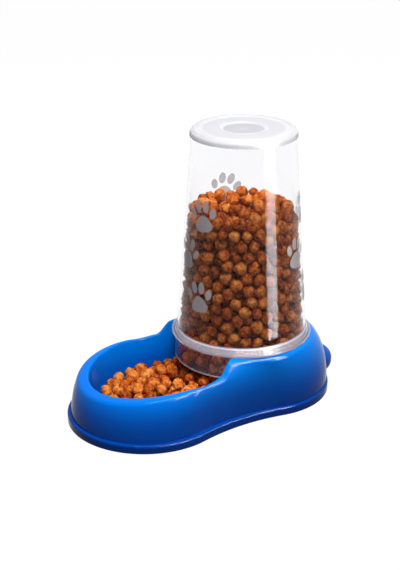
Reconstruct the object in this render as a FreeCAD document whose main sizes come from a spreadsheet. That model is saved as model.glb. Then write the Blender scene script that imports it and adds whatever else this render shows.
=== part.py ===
"""Gravity pet feeder: a moulded bowl base with a clear hopper, a press-on lid, dry food and rubber feet.

Units are millimetres.  Up is +Z, the bowl faces -Y, and the part stands on Z = 0 with its origin at the
middle of the floor box.  Every piece is drawn about the upright axis of the hopper and then placed.
"""

import FreeCAD, Part
import math
import os
import random

import Sketcher
from FreeCAD import Placement, Rotation, Vector

doc = FreeCAD.newDocument("gravity_pet_feeder")

# Driving dimensions: alias, value, meaning
SIZES = (
    ("wall_thickness", 2.5, "wall of the moulded base"),
    ("foot_gap", 1.5, "daylight between the base's lower edge and the floor"),
    ("collar_height", 77.0, "flat ring on top of the base that the hopper stands on"),
    ("collar_margin", 1.0, "collar beyond the hopper's flange"),
    ("seat_gap", 0.3, "play between parts that rest on each other"),
    ("skirt_height", 11.0, "top of the stepped skirt along the floor"),
    ("skirt_step", 3.0, "skirt beyond the wall above it"),
    ("skirt_rounding", 2.4, "rounded upper edge of the skirt"),
    ("foot_rear_centre", 21.6, "rear lobe at the foot of the wall, behind the hopper's axis"),
    ("foot_rear_bulge", 1.4, "rear lobe at the foot of the wall, beyond the collar's radius"),
    ("belly_height", 36.0, "where the wall starts to lean in"),
    ("belly_rear_centre", 20.0, "rear lobe at the belly"),
    ("belly_rear_bulge", 2.2, "rear lobe at the belly, beyond the collar's radius"),
    ("shoulder_height", 60.0, "where the wall turns into the rim"),
    ("shoulder_rear_centre", 12.0, "rear lobe at the shoulder"),
    ("shoulder_rear_bulge", 2.0, "rear lobe at the shoulder, beyond the collar's radius"),
    ("collar_rear_centre", 0.4, "rear lobe at the collar"),
    ("waist_radius", 236.0, "concave arc between the two lobes"),
    ("mouth_rear_distance", 21.0, "rear end of the bowl's mouth, in front of the hopper's axis"),
    ("bowl_half_width", 72.0, "mouth of the bowl, across"),
    ("bowl_half_length", 86.0, "mouth of the bowl, along"),
    ("bowl_floor_height", 10.0, "inside floor of the bowl"),
    ("bowl_draft", 11.0, "lean of the bowl's inside wall, degrees"),
    ("bowl_rounding", 22.0, "round between the bowl's wall and its floor"),
    ("lip_rounding", 2.0, "rounded inner edge of the rim"),
    ("foot_rim", 14.2, "front lobe at the foot of the wall, beyond the bowl's half width"),
    ("belly_rim", 10.0, "front lobe at the belly, beyond the bowl's half width"),
    ("shoulder_rim", 4.5, "front lobe at the shoulder, beyond the bowl's half width"),
    ("collar_rim", -16.0, "front lobe at the collar's height, against the bowl's half width"),
    ("foot_front_shift", 5.5, "front lobe at the foot, in front of the round end of the mouth"),
    ("belly_front_shift", 5.0, "front lobe at the belly"),
    ("shoulder_front_shift", -1.5, "front lobe at the shoulder"),
    ("collar_front_shift", -10.0, "front lobe at the collar's height"),
    ("rim_peak_distance", 87.0, "highest point of the bowl's rim, in front of the hopper's axis"),
    ("rim_peak_height", 61.5, "highest point of the bowl's rim"),
    ("rim_arc_radius", 560.0, "long arc of the rim, seen from the side"),
    ("rise_lead", 2.7, "end of the rise from rim to collar, in front of the corner of mouth and well"),
    ("rise_angle", 57.0, "slope of the rise, degrees"),
    ("rise_foot_radius", 9.0, "hollow round at the foot of the rise"),
    ("rise_head_radius", 7.0, "round at the head of the rise"),
    ("rim_rounding", 6.0, "rounded outer edge of the rim and the collar"),
    ("ramp_rear_height", 45.0, "top of the sloping floor under the hopper"),
    ("ramp_foot_lift", 3.0, "foot of that slope above the bowl's floor"),
    ("well_clearance", 0.5, "play round the hopper's neck"),
    ("well_floor_radius", 73.0, "narrower lower part of the well"),
    ("ledge_drop", 2.0, "ledge of the well, below the end of the neck"),
    ("lug_centre", 88.2, "round lifting lug at the rear, behind the hopper's axis"),
    ("lug_radius", 36.5, "round lifting lug"),
    ("lug_foot_height", 7.5, "underside of the lifting lug"),
    ("lug_height", 29.5, "top of the lifting lug"),
    ("lug_rounding", 9.5, "rounded edges of the lug"),
    ("flange_radius", 80.0, "hopper flange that rests on the collar"),
    ("flange_lip", 2.2, "upright edge of the flange"),
    ("flange_slope", 6.0, "cone from the flange up to the foot of the hopper's wall"),
    ("neck_radius", 77.0, "hopper neck that hangs in the well"),
    ("neck_depth", 27.6, "neck below the flange"),
    ("hopper_foot_radius", 74.1, "hopper wall at its foot"),
    ("hopper_mouth_radius", 57.3, "hopper wall at its mouth"),
    ("hopper_height", 236.4, "mouth above the flange's underside"),
    ("hopper_wall", 2.0, "wall of the hopper"),
    ("hopper_edge_rounding", 0.7, "rounded edges of the flange, the neck and the mouth"),
    ("lid_wall", 1.2, "wall of the lid"),
    ("lid_play", 0.3, "play between the lid and the hopper"),
    ("lid_skirt_depth", 5.4, "lid's skirt below the hopper's mouth"),
    ("lid_crown_height", 3.5, "solid bead of the lid above the hopper's mouth"),
    ("lid_crown_width", 9.7, "crown of the lid, from its side in to the dish"),
    ("lid_crown_rounding", 8.0, "outer round of the crown"),
    ("lid_inner_rounding", 2.0, "round inside the lid, over the edge of the mouth"),
    ("lid_dish_slope", 3.0, "sloping inside of the crown, across"),
    ("lid_dish_depth", 1.5, "face of the lid below the crown"),
    ("lid_plug_depth", 4.2, "ring that plugs the mouth"),
    ("lid_ring_radius", 27.5, "raised ring round the recess"),
    ("lid_ring_width", 3.2, "width of that ring"),
    ("lid_ring_height", 0.5, "height of that ring"),
    ("lid_recess_radius", 23.1, "round recess in the middle of the lid"),
    ("lid_recess_depth", 1.1, "depth of that recess"),
    ("rubber_radius", 6.5, "rubber foot"),
    ("rubber_inset", 10.5, "rubber foot's middle inside the skirt's outline"),
    ("rubber_angle", 50.0, "bearing of the feet round each lobe, degrees"),
    ("boss_radius", 8.5, "plate that carries a foot"),
    ("boss_thickness", 3.0, "thickness of that plate"),
    ("stem_radius", 2.6, "stem of the rubber foot"),
    ("stem_play", 0.2, "play round that stem"),
    ("head_radius", 3.8, "barbed head that holds the foot in its plate"),
    ("head_height", 3.0, "height of that head"),
    ("food_play", 0.6, "room between the food and the walls round it"),
    ("food_level", 148.0, "food above the flange, at the wall of the hopper"),
    ("food_dome", 6.0, "rise of the food in the middle of the hopper"),
    ("lump_pitch", 17.0, "distance between the lumps on the food's surface"),
    ("lump_relief", 5.0, "hollows between those lumps"),
    ("heap_height", 44.0, "food in the middle of the bowl"),
    ("heap_drop", 14.0, "fall of that food out to the bowl's wall"),
    ("heap_slope", 50.0, "lean of the food that slides out of the neck, degrees"),
    ("heap_repose", 10.0, "food inside the neck's rim that stays back from its edge"),
)

sheet = doc.addObject("Spreadsheet::Sheet", "Sizes")
for row, (alias, amount, meaning) in enumerate(SIZES, start=1):
    sheet.set("A%d" % row, meaning)
    sheet.set("B%d" % row, str(amount))
    sheet.setAlias("B%d" % row, alias)
doc.recompute()


def number(expression):
    """Value of an expression over the sheet's sizes."""
    return float(sheet.evalExpression(expression))


def size(alias):
    return number("Sizes." + alias)


# Sizes that several pieces share
COLLAR_RADIUS = "(Sizes.flange_radius + Sizes.collar_margin)"
WELL_RADIUS = "(Sizes.neck_radius + Sizes.well_clearance)"
SEAT_HEIGHT = "(Sizes.collar_height + Sizes.seat_gap)"
LEDGE_HEIGHT = "(" + SEAT_HEIGHT + " - Sizes.neck_depth - Sizes.ledge_drop)"
MOUTH_HEIGHT = "(" + SEAT_HEIGHT + " + Sizes.hopper_height)"
BOWL_DISTANCE = "(Sizes.mouth_rear_distance + Sizes.bowl_half_length)"
MOUTH_ROUND_END = "(" + BOWL_DISTANCE + " + Sizes.bowl_half_length - Sizes.bowl_half_width)"
FOOT_REAR_RADIUS = "(" + COLLAR_RADIUS + " + Sizes.foot_rear_bulge)"
FOOT_FRONT_RADIUS = "(Sizes.bowl_half_width + Sizes.foot_rim)"
FOOT_FRONT_CENTRE = "(" + MOUTH_ROUND_END + " + Sizes.foot_front_shift)"
WIDE = "((Sizes.bowl_half_length / Sizes.bowl_half_width) ^ 2)"
CORNER_SUM = ("(" + BOWL_DISTANCE + " ^ 2 + " + WIDE + " * " + WELL_RADIUS + " ^ 2"
              " - Sizes.bowl_half_length ^ 2)")
CORNER_ROOT = "sqrt(" + BOWL_DISTANCE + " ^ 2 - (1 - " + WIDE + ") * " + CORNER_SUM + ")"
CORNER_DISTANCE = "(" + CORNER_SUM + " / (" + BOWL_DISTANCE + " + " + CORNER_ROOT + "))"
RISE_DISTANCE = "(" + CORNER_DISTANCE + " + Sizes.rise_lead)"
REAR_REACH = "(Sizes.lug_centre + Sizes.lug_radius)"
FRONT_REACH = "(" + FOOT_FRONT_CENTRE + " + " + FOOT_FRONT_RADIUS + " + Sizes.skirt_step)"
AXIS_SHIFT = "((" + FRONT_REACH + " - " + REAR_REACH + ") / 2)"


def origin_plane(body, role):
    for feature in body.Origin.OriginFeatures:
        if feature.Role == role:
            return feature
    raise ValueError("no plane " + role)


def new_body(label):
    body = doc.addObject("PartDesign::Body", label)
    body.Label = label
    return body


def new_sketch(body, name, role, lift="0"):
    """Sketch on one of the body's origin planes, lifted off it by an expression."""
    sketch = body.newObject("Sketcher::SketchObject", name)
    sketch.AttachmentSupport = [(origin_plane(body, role), "")]
    sketch.MapMode = "FlatFace"
    sketch.setExpression("AttachmentOffset.Base.z", lift)
    return sketch


def rule(sketch, kind, where, expression, unit=""):
    """Dimension between points of a sketch, driven by an expression."""
    amount = number(expression)
    if kind == "Angle":
        amount = math.radians(amount)
    index = sketch.addConstraint(Sketcher.Constraint(kind, *where, amount))
    sketch.setExpression("Constraints[%d]" % index, "(" + expression + ")" + unit)


def polygon_sketch(body, name, role, corners):
    """Closed outline whose corners are pairs of expressions."""
    sketch = new_sketch(body, name, role)
    points = [Vector(number(across), number(up), 0) for across, up in corners]
    count = len(points)
    for index in range(count):
        sketch.addGeometry(Part.LineSegment(points[index], points[(index + 1) % count]), False)
    for index, (across, up) in enumerate(corners):
        sketch.addConstraint(Sketcher.Constraint("Coincident", index, 2, (index + 1) % count, 1))
        rule(sketch, "DistanceX", (-1, 1, index, 1), across)
        rule(sketch, "DistanceY", (-1, 1, index, 1), up)
    return sketch


def lobed_sketch(body, name, lift, rear_centre, rear_radius, front_centre, front_radius, waist_radius):
    """Outline of a rear lobe and a front lobe joined by two concave waist arcs."""
    sketch = new_sketch(body, name, "XY_Plane", lift)
    rear, rear_r = number(rear_centre), number(rear_radius)
    front, front_r = -number(front_centre), number(front_radius)
    waist_r = number(waist_radius)
    span = rear - front
    to_rear, to_front = rear_r + waist_r, front_r + waist_r
    waist_y = rear - (to_rear ** 2 - to_front ** 2 + span ** 2) / (2 * span)
    waist_x = math.sqrt(to_rear ** 2 - (waist_y - rear) ** 2)
    up = Vector(0, 0, 1)

    def arc(x, y, radius, start, end):
        return Part.ArcOfCircle(Part.Circle(Vector(x, y, 0), up, radius), start, end)

    rear_turn = math.atan2(waist_y - rear, waist_x)
    front_turn = math.atan2(waist_y - front, waist_x)
    sketch.addGeometry(arc(0, rear, rear_r, rear_turn, math.pi - rear_turn), False)
    sketch.addGeometry(arc(-waist_x, waist_y, waist_r, -front_turn, -rear_turn), False)
    sketch.addGeometry(arc(0, front, front_r, math.pi - front_turn, 2 * math.pi + front_turn), False)
    sketch.addGeometry(arc(waist_x, waist_y, waist_r, math.pi + rear_turn, math.pi + front_turn), False)
    for first, first_end, second, second_end in ((0, 2, 1, 2), (2, 1, 1, 1), (2, 2, 3, 2), (0, 1, 3, 1)):
        sketch.addConstraint(Sketcher.Constraint("Tangent", first, first_end, second, second_end))
    sketch.addConstraint(Sketcher.Constraint("PointOnObject", 0, 3, -2))
    sketch.addConstraint(Sketcher.Constraint("PointOnObject", 2, 3, -2))
    rule(sketch, "DistanceY", (-1, 1, 0, 3), rear_centre)
    rule(sketch, "DistanceY", (2, 3, -1, 1), front_centre)
    rule(sketch, "Radius", (0,), rear_radius)
    rule(sketch, "Radius", (2,), front_radius)
    rule(sketch, "Radius", (1,), waist_radius)
    rule(sketch, "Radius", (3,), waist_radius)
    return sketch


def pad(body, sketch, name, length):
    feature = body.newObject("PartDesign::Pad", name)
    feature.Profile = sketch
    feature.setExpression("Length", length)
    return feature


def revolve(body, sketch, name):
    feature = body.newObject("PartDesign::Revolution", name)
    feature.Profile = sketch
    feature.ReferenceAxis = (sketch, ["V_Axis"])
    feature.Angle = 360
    return feature


def edge_names(shape, wanted):
    """Names of the edges for which wanted(edge) is true."""
    return ["Edge%d" % place for place, edge in enumerate(shape.Edges, start=1) if wanted(edge)]


def ring_at(radius, height):
    """Test for a round edge about the upright axis."""
    def wanted(edge):
        box = edge.BoundBox
        flat = box.ZLength < 0.01 and abs(box.ZMin - height) < 0.01
        return flat and abs(box.XMax - radius) < 0.01
    return wanted


def round_edges(body, name, wanted, radius):
    """Fillet the edges of the body's last shape for which wanted(edge) is true."""
    doc.recompute()
    before = body.Tip
    names = edge_names(before.Shape, wanted)
    if not names:
        raise ValueError("no edge to round for " + name)
    feature = body.newObject("PartDesign::Fillet", name)
    feature.Base = (before, names)
    feature.setExpression("Radius", radius)
    return feature


def combine(kind, label, parts):
    """Cut, Common, Fuse or MultiFuse of finished objects."""
    result = doc.addObject("Part::" + kind, label)
    result.Label = label
    if kind in ("MultiFuse", "MultiCommon"):
        result.Shapes = parts
    else:
        result.Base, result.Tool = parts
    return result


# Lobes of the wall from the foot up: name, height, rear centre, rear radius, front centre, front radius
WALL_LEVELS = (
    ("foot", "Sizes.skirt_height", "Sizes.foot_rear_centre", FOOT_REAR_RADIUS,
     FOOT_FRONT_CENTRE, FOOT_FRONT_RADIUS),
    ("belly", "Sizes.belly_height", "Sizes.belly_rear_centre",
     COLLAR_RADIUS + " + Sizes.belly_rear_bulge",
     MOUTH_ROUND_END + " + Sizes.belly_front_shift", "Sizes.bowl_half_width + Sizes.belly_rim"),
    ("shoulder", "Sizes.shoulder_height", "Sizes.shoulder_rear_centre",
     COLLAR_RADIUS + " + Sizes.shoulder_rear_bulge",
     MOUTH_ROUND_END + " + Sizes.shoulder_front_shift", "Sizes.bowl_half_width + Sizes.shoulder_rim"),
    ("collar", "Sizes.collar_height", "Sizes.collar_rear_centre", COLLAR_RADIUS,
     MOUTH_ROUND_END + " + Sizes.collar_front_shift", "Sizes.bowl_half_width + Sizes.collar_rim"),
)


def side_cut_sketch(body, inset):
    """Side view of what is cut away above the bowl's rim, its rise and the collar."""
    sketch = new_sketch(body, "side_cut", "YZ_Plane")
    rim_centre = Vector(-size("rim_peak_distance"), size("rim_peak_height") - size("rim_arc_radius"), 0)
    rim_r = size("rim_arc_radius") - number(inset)
    foot_r = size("rise_foot_radius") + number(inset)
    head_r = size("rise_head_radius") - number(inset)
    head_centre = Vector(-number(RISE_DISTANCE), size("collar_height") - size("rise_head_radius"), 0)
    slope = math.radians(size("rise_angle"))
    along = Vector(math.cos(slope), math.sin(slope), 0)
    normal = Vector(-math.sin(slope), math.cos(slope), 0)
    reach = rim_r + foot_r
    start = head_centre + normal * (head_r + foot_r) - rim_centre
    lead = start.dot(along)
    straight = lead - math.sqrt(lead ** 2 - start.dot(start) + reach ** 2)
    foot_centre = head_centre + normal * (head_r + foot_r) - along * straight
    toward = (foot_centre - rim_centre).normalize()
    front = -number(FRONT_REACH) - size("wall_thickness")
    front_angle = math.acos((front - rim_centre.x) / rim_r)
    rim_end = rim_centre + toward * rim_r
    line_start = foot_centre - normal * foot_r
    line_end = head_centre + normal * head_r
    head_top = head_centre + Vector(0, head_r, 0)
    front_point = rim_centre + Vector(math.cos(front_angle), math.sin(front_angle), 0) * rim_r
    ceiling = 2 * size("collar_height")
    up = Vector(0, 0, 1)
    turn = math.atan2(toward.y, toward.x)
    sketch.addGeometry(Part.ArcOfCircle(Part.Circle(rim_centre, up, rim_r), turn, front_angle), False)
    sketch.addGeometry(Part.ArcOfCircle(Part.Circle(foot_centre, up, foot_r), turn - math.pi,
                                        slope - math.pi / 2), False)
    sketch.addGeometry(Part.LineSegment(line_start, line_end), False)
    sketch.addGeometry(Part.ArcOfCircle(Part.Circle(head_centre, up, head_r), math.pi / 2,
                                        slope + math.pi / 2), False)
    head_above = Vector(head_top.x, ceiling, 0)
    front_above = Vector(front_point.x, ceiling, 0)
    sketch.addGeometry(Part.LineSegment(head_top, head_above), False)
    sketch.addGeometry(Part.LineSegment(head_above, front_above), False)
    sketch.addGeometry(Part.LineSegment(front_above, front_point), False)
    for first, first_end, second, second_end in ((0, 1, 1, 1), (1, 2, 2, 1), (2, 2, 3, 2)):
        sketch.addConstraint(Sketcher.Constraint("Tangent", first, first_end, second, second_end))
    for first, first_end, second, second_end in ((3, 1, 4, 1), (4, 2, 5, 1), (5, 2, 6, 1), (6, 2, 0, 2)):
        sketch.addConstraint(Sketcher.Constraint("Coincident", first, first_end, second, second_end))
    sketch.addConstraint(Sketcher.Constraint("Vertical", 4))
    sketch.addConstraint(Sketcher.Constraint("Horizontal", 5))
    sketch.addConstraint(Sketcher.Constraint("Vertical", 6))
    sketch.addConstraint(Sketcher.Constraint("Vertical", 3, 1, 3, 3))
    rule(sketch, "DistanceX", (0, 3, -1, 1), "Sizes.rim_peak_distance")
    rule(sketch, "DistanceY", (0, 3, -1, 1), "Sizes.rim_arc_radius - Sizes.rim_peak_height")
    rule(sketch, "Radius", (0,), "Sizes.rim_arc_radius - " + inset)
    rule(sketch, "Radius", (1,), "Sizes.rise_foot_radius + " + inset)
    rule(sketch, "Radius", (3,), "Sizes.rise_head_radius - " + inset)
    rule(sketch, "DistanceX", (3, 3, -1, 1), RISE_DISTANCE)
    rule(sketch, "DistanceY", (-1, 1, 3, 3), "Sizes.collar_height - Sizes.rise_head_radius")
    rule(sketch, "Angle", (2,), "Sizes.rise_angle", " * 1 deg")
    rule(sketch, "DistanceX", (0, 2, -1, 1), FRONT_REACH + " + Sizes.wall_thickness")
    rule(sketch, "DistanceY", (-1, 1, 5, 1), "2 * Sizes.collar_height")
    return sketch


def lug_section(body, inset):
    """Half section of the lug about its own upright axis, with rounded corners."""
    sketch = new_sketch(body, "lug_section", "YZ_Plane")
    sketch.setExpression("AttachmentOffset.Base.x", "Sizes.lug_centre")
    reach = size("lug_radius") - number(inset)
    low = size("lug_foot_height") + number(inset)
    high = size("lug_height") - number(inset)
    round_r = size("lug_rounding") - number(inset)
    up = Vector(0, 0, 1)
    low_centre = Vector(reach - round_r, low + round_r, 0)
    high_centre = Vector(reach - round_r, high - round_r, 0)
    sketch.addGeometry(Part.LineSegment(Vector(0, low, 0), Vector(low_centre.x, low, 0)), False)
    sketch.addGeometry(Part.ArcOfCircle(Part.Circle(low_centre, up, round_r), -math.pi / 2, 0), False)
    side = Part.LineSegment(Vector(reach, low_centre.y, 0), Vector(reach, high_centre.y, 0))
    sketch.addGeometry(side, False)
    sketch.addGeometry(Part.ArcOfCircle(Part.Circle(high_centre, up, round_r), 0, math.pi / 2), False)
    sketch.addGeometry(Part.LineSegment(Vector(high_centre.x, high, 0), Vector(0, high, 0)), False)
    sketch.addGeometry(Part.LineSegment(Vector(0, high, 0), Vector(0, low, 0)), False)
    for first, first_end, second, second_end in ((0, 2, 1, 1), (1, 2, 2, 1), (2, 2, 3, 1), (3, 2, 4, 1)):
        sketch.addConstraint(Sketcher.Constraint("Tangent", first, first_end, second, second_end))
    sketch.addConstraint(Sketcher.Constraint("Coincident", 4, 2, 5, 1))
    sketch.addConstraint(Sketcher.Constraint("Coincident", 5, 2, 0, 1))
    sketch.addConstraint(Sketcher.Constraint("Horizontal", 0))
    sketch.addConstraint(Sketcher.Constraint("Horizontal", 4))
    sketch.addConstraint(Sketcher.Constraint("PointOnObject", 0, 1, -2))
    sketch.addConstraint(Sketcher.Constraint("PointOnObject", 4, 2, -2))
    rule(sketch, "Radius", (1,), "Sizes.lug_rounding - " + inset)
    rule(sketch, "Radius", (3,), "Sizes.lug_rounding - " + inset)
    rule(sketch, "DistanceX", (-1, 1, 2, 1), "Sizes.lug_radius - " + inset)
    rule(sketch, "DistanceY", (-1, 1, 0, 1), "Sizes.lug_foot_height + " + inset)
    rule(sketch, "DistanceY", (-1, 1, 4, 2), "Sizes.lug_height - " + inset)
    return sketch


def base_form(label, inset, floor):
    """Outer form of the base, drawn in by inset on every side, from floor up."""
    body = new_body(label)
    skirt = lobed_sketch(body, "skirt_outline", floor,
                         "Sizes.foot_rear_centre", FOOT_REAR_RADIUS + " + Sizes.skirt_step - " + inset,
                         FOOT_FRONT_CENTRE, FOOT_FRONT_RADIUS + " + Sizes.skirt_step - " + inset,
                         "Sizes.waist_radius - Sizes.skirt_step + " + inset)
    pad(body, skirt, "skirt", "Sizes.skirt_height - " + inset + " - " + floor)
    if number(inset) == 0:
        skirt_top = size("skirt_height")

        def on_skirt_top(edge):
            box = edge.BoundBox
            return box.ZLength < 0.01 and abs(box.ZMin - skirt_top) < 0.01
        round_edges(body, "skirt_round", on_skirt_top, "Sizes.skirt_rounding")
    sections = []
    for name, height, rear_centre, rear_radius, front_centre, front_radius in WALL_LEVELS:
        if name == "foot":
            height = floor
        if name == "collar":
            height = height + " - " + inset
        sections.append(lobed_sketch(body, name + "_outline", height, rear_centre,
                                     rear_radius + " - " + inset, front_centre,
                                     front_radius + " - " + inset, "Sizes.waist_radius + " + inset))
    wall = body.newObject("PartDesign::AdditiveLoft", "wall")
    wall.Profile = sections[0]
    wall.Sections = sections[1:]
    wall.Ruled = False
    wall.Closed = False
    revolve(body, lug_section(body, inset), "lug")
    doc.recompute()
    cut = body.newObject("PartDesign::Pocket", "side_cut_pocket")
    cut.Profile = side_cut_sketch(body, inset)
    cut.Type = "ThroughAll"
    cut.SideType = "Symmetric"
    doc.recompute()
    lug_top = size("lug_height")

    def round_the_top(edge):
        box = edge.BoundBox
        straight_across = box.YLength < 0.05 and box.ZLength < 0.05
        return box.ZMin > lug_top and not straight_across
    round_edges(body, "rim_round", round_the_top, "Sizes.rim_rounding - " + inset)
    return body


def ellipse_at(label, height, half_width, half_length):
    """Level ellipse about the middle of the bowl."""
    turn, longer, shorter = 90, half_length, half_width
    if number(half_width) > number(half_length):
        turn, longer, shorter = 0, half_width, half_length
    ring = doc.addObject("Part::Ellipse", label)
    ring.setExpression("MajorRadius", longer)
    ring.setExpression("MinorRadius", shorter)
    ring.Placement = Placement(Vector(0, 0, 0), Rotation(Vector(0, 0, 1), turn))
    ring.setExpression("Placement.Base.y", "-" + BOWL_DISTANCE)
    ring.setExpression("Placement.Base.z", height)
    return ring


def cylinder_at(label, across, along, height, radius, length):
    piece = doc.addObject("Part::Cylinder", label)
    piece.setExpression("Radius", radius)
    piece.setExpression("Height", length)
    piece.setExpression("Placement.Base.x", across)
    piece.setExpression("Placement.Base.y", along)
    piece.setExpression("Placement.Base.z", height)
    return piece


def bowl_space(label, grow):
    """Space inside the bowl, larger by grow on every side."""
    lean = "(%s) * tan(Sizes.bowl_draft * 1 deg) + " + grow
    floor = "Sizes.bowl_floor_height - " + grow
    top = "2 * Sizes.collar_height"
    rings = []
    for name, height in (("_floor", floor), ("_top", top)):
        shift = lean % (height + " - Sizes.rim_peak_height")
        rings.append(ellipse_at(label + name, height, "Sizes.bowl_half_width + " + shift,
                                "Sizes.bowl_half_length + " + shift))
    loft = doc.addObject("Part::Loft", label + "_loft")
    loft.Sections = rings
    loft.Solid = True
    loft.Ruled = True
    doc.recompute()
    radius = size("bowl_rounding") + number(grow)
    low = number(floor) + 0.01
    rounded = doc.addObject("Part::Fillet", label)
    rounded.Base = loft
    rounded.Edges = [(index, radius, radius) for index, edge in enumerate(loft.Shape.Edges, start=1)
                     if edge.BoundBox.ZMax < low]
    return rounded


def well_space(label, grow):
    """Round well under the hopper: a ledge below the neck and a floor that slopes down to the bowl."""
    body = new_body(label + "_ramp")
    floor = "Sizes.bowl_floor_height - " + grow
    ramp_foot = "-Sizes.mouth_rear_distance - Sizes.bowl_half_length / 2"
    behind = WELL_RADIUS + " + " + grow
    above = "2 * Sizes.collar_height"
    outline = polygon_sketch(body, "ramp_side", "YZ_Plane", (
        (ramp_foot, floor + " + Sizes.ramp_foot_lift"),
        (behind, "Sizes.ramp_rear_height - " + grow),
        (behind, above),
        (ramp_foot, above),
    ))
    slab = pad(body, outline, "ramp", "2 * (" + behind + ")")
    slab.SideType = "Symmetric"
    ledge = "(" + LEDGE_HEIGHT + " - " + grow + ")"
    narrow = "Sizes.well_floor_radius + " + grow
    round_well = combine("MultiFuse", label + "_round", [
        cylinder_at(label + "_lower", "0", "0", "0", narrow, above),
        cylinder_at(label + "_upper", "0", "0", ledge, behind, above + " - " + ledge)])
    doc.recompute()
    return combine("Common", label, (body, round_well))


def foot_places():
    """Bearing of each rubber foot: name, lobe's centre and radius, side, angle sign."""
    rear = ("Sizes.foot_rear_centre", FOOT_REAR_RADIUS, 1)
    front = ("-" + FOOT_FRONT_CENTRE, FOOT_FRONT_RADIUS, -1)
    for end, (centre, radius, forward) in (("rear", rear), ("front", front)):
        reach = "(" + radius + " + Sizes.skirt_step - Sizes.rubber_inset)"
        for side, sign in (("left", 1), ("right", -1)):
            across = "%d * %s * cos(Sizes.rubber_angle * 1 deg)" % (sign, reach)
            along = "%s + %d * %s * sin(Sizes.rubber_angle * 1 deg)" % (centre, forward, reach)
            yield "foot_%s_%s" % (end, side), across, along


PLATE_HEIGHT = "(2 * Sizes.foot_gap + Sizes.seat_gap)"


def lip_edges(shape):
    """Numbers of the edges where the bowl's inside wall meets the rim."""
    lean = math.tan(math.radians(size("bowl_draft")))
    chosen = []
    for index, edge in enumerate(shape.Edges, start=1):
        middle = edge.valueAt((edge.FirstParameter + edge.LastParameter) / 2)
        shift = (middle.z - size("rim_peak_height")) * lean
        across = middle.x / (size("bowl_half_width") + shift)
        along = (middle.y + number(BOWL_DISTANCE)) / (size("bowl_half_length") + shift)
        upright = max(edge.BoundBox.XLength, edge.BoundBox.YLength) < edge.BoundBox.ZLength / 2
        high = edge.BoundBox.ZMin > size("skirt_height") + size("bowl_rounding")
        if high and not upright and abs(math.hypot(across, along) - 1) < 0.002:
            chosen.append(index)
    return chosen


def make_base():
    """One moulded shell: bowl, well, collar, skirt and lug, open underneath."""
    below = "(Sizes.foot_gap - Sizes.wall_thickness)"
    outside = base_form("base_outside", "0", "Sizes.foot_gap")
    inside = base_form("base_inside", "Sizes.wall_thickness", below)
    space = combine("MultiFuse", "food_space", [
        bowl_space("bowl_space", "0"),
        well_space("well_space", "0")])
    backing = combine("MultiFuse", "food_space_backing", [
        bowl_space("bowl_backing", "Sizes.wall_thickness"),
        well_space("well_backing", "Sizes.wall_thickness")])
    plates = []
    holes = []
    for name, across, along in foot_places():
        plates.append(cylinder_at(name + "_plate", across, along, PLATE_HEIGHT,
                                  "Sizes.boss_radius", "Sizes.boss_thickness"))
        holes.append(cylinder_at(name + "_hole", across, along, "0",
                                 "Sizes.stem_radius + Sizes.stem_play", "2 * " + PLATE_HEIGHT
                                 + " + Sizes.boss_thickness"))
    hollow = combine("Cut", "underside", (inside, backing))
    sharp_form = combine("Cut", "base_sharp", (outside, space))
    doc.recompute()
    open_form = doc.addObject("Part::Fillet", "base_open")
    open_form.Base = sharp_form
    radius = size("lip_rounding")
    open_form.Edges = [(index, radius, radius) for index in lip_edges(sharp_form.Shape)]
    shell = combine("Cut", "base_shell", (open_form, hollow))
    plated = combine("Fuse", "base_plated", (shell, combine("MultiFuse", "foot_plates", plates)))
    return combine("Cut", "base", (plated, combine("MultiFuse", "foot_holes", holes)))


def rise(*parts):
    """Sum of height expressions."""
    return " + ".join(parts)


def make_hopper():
    """Clear tapered container, open at both ends, with a flange and a neck."""
    body = new_body("hopper")
    wall = " - Sizes.hopper_wall"
    lip_top = rise(SEAT_HEIGHT, "Sizes.flange_lip")
    wall_foot = rise(lip_top, "Sizes.flange_slope")
    neck_end = SEAT_HEIGHT + " - Sizes.neck_depth"
    outline = polygon_sketch(body, "hopper_section", "XZ_Plane", (
        ("Sizes.neck_radius" + wall, neck_end),
        ("Sizes.neck_radius", neck_end),
        ("Sizes.neck_radius", SEAT_HEIGHT),
        ("Sizes.flange_radius", SEAT_HEIGHT),
        ("Sizes.flange_radius", lip_top),
        ("Sizes.hopper_foot_radius", wall_foot),
        ("Sizes.hopper_mouth_radius", MOUTH_HEIGHT),
        ("Sizes.hopper_mouth_radius" + wall, MOUTH_HEIGHT),
        ("Sizes.hopper_foot_radius" + wall, wall_foot),
        ("Sizes.neck_radius" + wall, lip_top),
    ))
    revolve(body, outline, "hopper_turned")
    doc.recompute()
    rings = (
        ring_at(size("neck_radius"), number(neck_end)),
        ring_at(size("neck_radius") - size("hopper_wall"), number(neck_end)),
        ring_at(size("flange_radius"), number(SEAT_HEIGHT)),
        ring_at(size("flange_radius"), number(lip_top)),
        ring_at(size("hopper_mouth_radius"), number(MOUTH_HEIGHT)),
        ring_at(size("hopper_mouth_radius") - size("hopper_wall"), number(MOUTH_HEIGHT)),
    )
    round_edges(body, "hopper_edges", lambda edge: any(ring(edge) for ring in rings),
                "Sizes.hopper_edge_rounding")
    return body


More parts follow.
